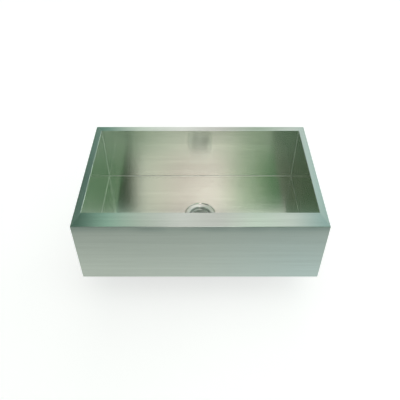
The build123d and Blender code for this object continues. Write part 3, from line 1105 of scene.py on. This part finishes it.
# %% [markdown]
# ## The slip nut
# The slip nut is a six-sided bar cut to a turned shape, so its corners are chamfered the way a lathe
# does it. Cutting the chamfers by hand would take six slanted planes at each end. A Boolean does it
# in one step, because it keeps only what the bar and the turned ring have in common.

# %% Shape the slip nut
SLIP_LOW, SLIP_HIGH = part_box("coupling_nut")
SLIP_LIP = 0.002
SLIP_BORE = 0.0241
SLIP_LIP_BORE = 0.0198
HEX_RADIUS = SLIP_HIGH.y / math.cos(math.radians(30.0))
CHAMFER_DEPTH, CHAMFER_HEIGHT = 0.0045, 0.0026
CLEAR = 0.001
MOUTH = 0.0008

barrel = turn_piece("barrel", [
    (SLIP_LIP_BORE, SLIP_LOW.z),
    (HEX_RADIUS - CHAMFER_DEPTH, SLIP_LOW.z),
    (HEX_RADIUS + CLEAR, SLIP_LOW.z + CHAMFER_HEIGHT),
    (HEX_RADIUS + CLEAR, SLIP_HIGH.z - CHAMFER_HEIGHT),
    (HEX_RADIUS - CHAMFER_DEPTH, SLIP_HIGH.z),
    (SLIP_BORE + MOUTH, SLIP_HIGH.z),
    (SLIP_BORE, SLIP_HIGH.z - MOUTH),
    (SLIP_BORE, SLIP_LOW.z + SLIP_LIP),
    (SLIP_LIP_BORE, SLIP_LOW.z + SLIP_LIP),
])
deselect()
bpy.ops.mesh.primitive_cylinder_add(
    vertices=6, radius=HEX_RADIUS, depth=SLIP_HIGH.z - SLIP_LOW.z + 2 * CLEAR,
    location=(0.0, 0.0, (SLIP_LOW.z + SLIP_HIGH.z) / 2), rotation=(0.0, 0.0, math.radians(30.0)),
)
slip_nut = start_piece("six_sided_slip_nut")
pick(slip_nut, "EDGE", lambda middle, direction: abs(direction.z) > 0.9)
bpy.ops.mesh.bevel(offset=0.0012, segments=3, profile=0.5)
tidy_mesh()
apply_modifier(slip_nut, "BOOLEAN", operation="INTERSECT", solver="EXACT", object=barrel)
bpy.data.objects.remove(barrel)
finish_piece(slip_nut, ZINC, "cast_zinc", "sink", "coupling_nut", angle=25.0)

# %% [markdown]
# ## The basket's plug, nut and knob
# The plug under the basket is moulded rubber with two fine lips that touch the seat. A knurled nut
# holds the cup, and the knob on top is turned with a hollow crown that fits a fingertip. The knurl is
# made by sinking every second face of the nut's side.

# %% Shape the plug, the nut and the knob
PLUG_LOW, PLUG_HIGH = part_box("basket_stopper")
NUT_LOW, NUT_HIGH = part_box("basket_nut")
KNOB_LOW, KNOB_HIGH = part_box("basket_knob")
PLUG_BORE = 0.00265
NOSE_LENGTH = 0.004
POST_RADIUS = 0.00305
KNURLS = 72
KNURL_DEPTH = 0.0003

plug_edge = PLUG_HIGH.x
lips = PLUG_LOW.z + NOSE_LENGTH
valley = lips + 0.0005
plug = turn_piece("rubber_plug", [
    (PLUG_BORE, PLUG_LOW.z),
    (0.0125, PLUG_LOW.z),
    (0.0131, PLUG_LOW.z + 0.0006),
    (0.0166, lips - 0.0003),
    (0.0176, valley),
    (0.0190, valley),
    (0.0196, lips),
    (0.0202, valley),
    (0.0222, valley),
    (0.0228, lips),
    (0.0234, valley),
    (plug_edge, lips + 0.0016),
    (plug_edge, PLUG_HIGH.z - 0.0014),
    (plug_edge - 0.0014, PLUG_HIGH.z),
    (PLUG_BORE, PLUG_HIGH.z),
])
finish_piece(plug, GASKET_RUBBER, "gasket_rubber", "stopper_and_post", "basket_stopper")

knurled_nut = turn_piece("knurled_nut", [
    (POST_RADIUS, NUT_LOW.z),
    (NUT_HIGH.x, NUT_LOW.z),
    (NUT_HIGH.x, NUT_HIGH.z - 0.0008),
    (NUT_HIGH.x - 0.0009, NUT_HIGH.z),
    (POST_RADIUS, NUT_HIGH.z),
], sides=KNURLS)


def on_knurl(middle, normal):
    """True for every second face of the nut's side."""
    outside = math.hypot(middle.x, middle.y) > 0.95 * NUT_HIGH.x and abs(normal.z) < 0.1
    step = 2 * math.pi / KNURLS
    return outside and math.floor(math.atan2(middle.y, middle.x) / step) % 2 == 0


pick(knurled_nut, "FACE", on_knurl)
bpy.ops.mesh.extrude_faces_move(TRANSFORM_OT_shrink_fatten={"value": -KNURL_DEPTH})
tidy_mesh()
finish_piece(knurled_nut, BASKET_STEEL, "polished_steel", "stopper_and_post", "basket_nut")

knob_edge = KNOB_HIGH.x
crown = KNOB_HIGH.z
knob = turn_piece("turned_knob", [
    (POST_RADIUS, KNOB_LOW.z),
    (0.0042, KNOB_LOW.z),
    (0.0045, KNOB_LOW.z + 0.0004),
    (0.0045, KNOB_LOW.z + 0.0034),
    (0.0054, KNOB_LOW.z + 0.0044),
    (0.0090, KNOB_LOW.z + 0.0058),
    (knob_edge, KNOB_LOW.z + 0.0070),
    (knob_edge, crown - 0.0022),
    (knob_edge - 0.0006, crown - 0.0007),
    (knob_edge - 0.0018, crown),
    (knob_edge - 0.0032, crown - 0.0002),
    (knob_edge - 0.0052, crown - 0.0012),
    (0.0022, crown - 0.0018),
    (0.0008, crown - 0.0019),
], sides=64, hollow=False)
round_rings(knob, 0.0005, 2, (knob_edge, KNOB_LOW.z + 0.0070), (0.0045, KNOB_LOW.z + 0.0034))
finish_piece(knob, BASKET_STEEL, "polished_steel", "stopper_and_post", "basket_knob")

# %% [markdown]
# ## The studio
# Metal shows its surroundings, so the light is mostly made by what stands round the sink: a tall
# soft panel above the camera with dark screens beside it, and a pale wall behind the sink that falls
# off to both sides. An image of a studio could be wrapped round the scene, but the world's direction
# vector, which says where a ray is heading, needs none. Colour ramps over its X part hold the panels,
# in front and behind, low and high. Further to the sides and down to the horizon stands a plain pale
# room. A plain ceiling hangs straight overhead, and one more soft panel far to the right draws the
# bright line on the left rim's inner edge. The camera itself sees white.

# %% Light the world
PLAIN_ROOM = (0.58, 0.63, 0.60)
SCREEN = (0.02, 0.06, 0.02)
SHADE = (0.17, 0.20, 0.18)
SIDE_PANEL = (5.0, 5.4, 5.2)
CEILING = (1.0, 0.97, 0.97)
WHITE = (1.0, 1.0, 1.0, 1.0)


def panels(tree, lean, stops, far_right=PLAIN_ROOM):
    """Panels over how far a direction leans to the right, from SHADE at -0.5 to far_right at 0.5."""
    stops = [(-0.5, SHADE), *stops, (0.5, far_right)]
    return ramp(tree, lean, [(position + 0.5, color) for position, color in stops])


world = bpy.data.worlds.new("studio")
world.use_nodes = True
scene.world = world
tree = world.node_tree
heading = split(tree, add_node(tree, "TexCoord").outputs["Generated"])
lean = spread(tree, heading["X"], -0.5, 0.5)
front_low = panels(tree, lean, [
    (-0.25, (0.03, 0.12, 0.03)),
    (-0.20, (0.07, 0.15, 0.06)),
    (-0.17, (0.0, 0.01, 0.0)),
    (-0.145, (0.0, 0.03, 0.0)),
    (-0.12, (1.45, 1.35, 1.3)),
    (-0.09, (1.05, 0.9, 0.85)),
    (-0.04, (0.65, 0.42, 0.45)),
    (0.03, (0.35, 0.15, 0.22)),
    (0.09, (0.04, 0.14, 0.05)),
    (0.14, (0.07, 0.24, 0.08)),
    (0.19, (0.12, 0.30, 0.15)),
    (0.25, (0.05, 0.22, 0.07)),
    (0.34, (0.08, 0.23, 0.10)),
])
front_high = panels(tree, lean, [
    (-0.25, SCREEN),
    (-0.12, SCREEN),
    (-0.09, (1.5, 1.45, 1.4)),
    (-0.04, (3.1, 2.8, 2.8)),
    (0.03, (5.4, 4.8, 4.8)),
    (0.09, (2.7, 2.75, 2.35)),
    (0.16, SCREEN),
    (0.25, (1.0, 1.3, 1.1)),
])
back_low = panels(tree, lean, [
    (-0.25, (0.06, 0.11, 0.09)),
    (-0.19, (0.17, 0.34, 0.28)),
    (-0.12, (1.08, 1.12, 1.04)),
    (-0.04, (1.36, 1.26, 1.28)),
    (0.04, (0.97, 0.86, 0.88)),
    (0.12, (0.50, 0.60, 0.49)),
    (0.19, (0.95, 0.96, 0.96)),
    (0.25, (0.62, 0.83, 0.83)),
], far_right=(0.20, 0.25, 0.23))
back_high = panels(tree, lean, [
    (-0.25, (0.16, 0.32, 0.24)),
    (-0.19, (0.9, 1.2, 1.0)),
    (-0.12, SCREEN),
    (-0.04, (0.4, 0.4, 0.36)),
    (0.04, (0.8, 0.8, 0.76)),
    (0.12, (1.7, 1.75, 1.65)),
    (0.19, (0.92, 0.93, 0.86)),
    (0.25, (0.13, 0.21, 0.21)),
])
high_up = spread(tree, heading["Z"], 0.64, 0.88)
in_front = mix_of(tree, high_up, front_low, front_high)
behind = mix_of(tree, high_up, back_low, back_high)
above = mix_of(tree, spread(tree, heading["Y"], -0.12, 0.12), in_front, behind)
right = spread(tree, heading["X"], 0.40, 0.55)
left = spread(tree, heading["X"], -0.65, -0.80)
level = spread(tree, heading["Z"], 0.30, 0.18)
beside = math_of(tree, "MAXIMUM", left, right)
outside = math_of(tree, "MAXIMUM", beside, level)
room = mix_of(tree, outside, above, (*PLAIN_ROOM, 1.0))
overhead = spread(tree, heading["Z"], 0.92, 0.97)
room = mix_of(tree, overhead, room, (*CEILING, 1.0))
strip = times(
    tree, spread(tree, heading["Z"], 0.40, 0.34),
    spread(tree, heading["X"], 0.55, 0.62), spread(tree, heading["Y"], 0.3, 0.45),
)
studio = mix_of(tree, strip, room, (*SIDE_PANEL, 1.0))
seen = mix_of(tree, add_node(tree, "LightPath").outputs["Is Camera Ray"], studio, WHITE)
fill(tree, tree.nodes["Background"], {"Color": seen})
print("world", world.name)

# %% [markdown]
# ## The floor
# The sink hangs here with the end of its outlet tube a centimetre above the floor, which is plain and
# pale. A little glow that only the camera and the reflections see brings it to white, while the soft
# shadow of the sink stays. In the reflections the glow fades with the distance from the apron and is
# faintly tinted, warm on the left and cool on the right, as the apron in the photograph shows. From
# below the floor is clear, so that the underside can be looked at.

# %% Lay the floor
FLOOR_LEVEL = OUTLET_Z - 0.01
PAPER_GREY = (0.62, 0.62, 0.62, 1.0)
CAMERA_GLOW = 0.62
REFLECTED_GLOW = 0.43
GLOW_START = PANEL_LOW.y - 0.48
GLOW_FULL = PANEL_LOW.y - 0.16

deselect()
bpy.ops.mesh.primitive_plane_add(size=12.0, location=(0.0, 0.0, FLOOR_LEVEL))
floor = bpy.context.active_object
floor.name = "studio_floor"
paper, tree, shader, place = new_material("pale_floor")
rays = add_node(tree, "LightPath").outputs
parts = split(tree, place)
across = spread(tree, parts["X"], PANEL_LOW.x, PANEL_HIGH.x)
tints = [(0.0, (1.0, 0.97, 0.93)), (0.5, (1.0, 1.0, 1.0)), (1.0, (0.84, 0.98, 1.08))]
tint = mix_of(tree, rays["Is Glossy Ray"], WHITE, ramp(tree, across, tints))
near = spread(tree, parts["Y"], GLOW_START, GLOW_FULL, 0.0, REFLECTED_GLOW)
to_camera = math_of(tree, "MAXIMUM", rays["Is Camera Ray"], rays["Is Transmission Ray"])
to_metal = times(tree, rays["Is Glossy Ray"], near)
glow = plus(tree, times(tree, to_camera, CAMERA_GLOW), to_metal)
from_above = minus(tree, 1.0, add_node(tree, "NewGeometry").outputs["Backfacing"])
fill(tree, shader, {"Base Color": PAPER_GREY, "Roughness": 0.9})
fill(tree, shader, {"Emission Color": tint, "Emission Strength": glow, "Alpha": from_above})
floor.data.materials.append(paper)
print("floor at", round(FLOOR_LEVEL, 3))

# %% [markdown]
# ## One soft lamp
# The world gives even light, which leaves round parts a little flat. One large area lamp above and
# in front on the right models them, dimly, and throws the sink's shadow to one side. It is kept out
# of reflections, because the panels already draw those.

# %% Hang one soft lamp
LAMP_PLACE = Vector((0.5, -1.2, 2.2))
LAMP_AIM = Vector((0.0, 0.0, -0.2))

light = bpy.data.lights.new("key_softbox", "AREA")
light.shape = "RECTANGLE"
light.size, light.size_y = 2.0, 2.0
light.energy = 4.0
lamp = bpy.data.objects.new("key_softbox", light)
lamp.location = LAMP_PLACE
lamp.rotation_euler = (LAMP_AIM - LAMP_PLACE).to_track_quat("-Z", "Y").to_euler()
lamp.visible_glossy = False
scene.collection.objects.link(lamp)
print("one soft lamp,", light.energy, "W")
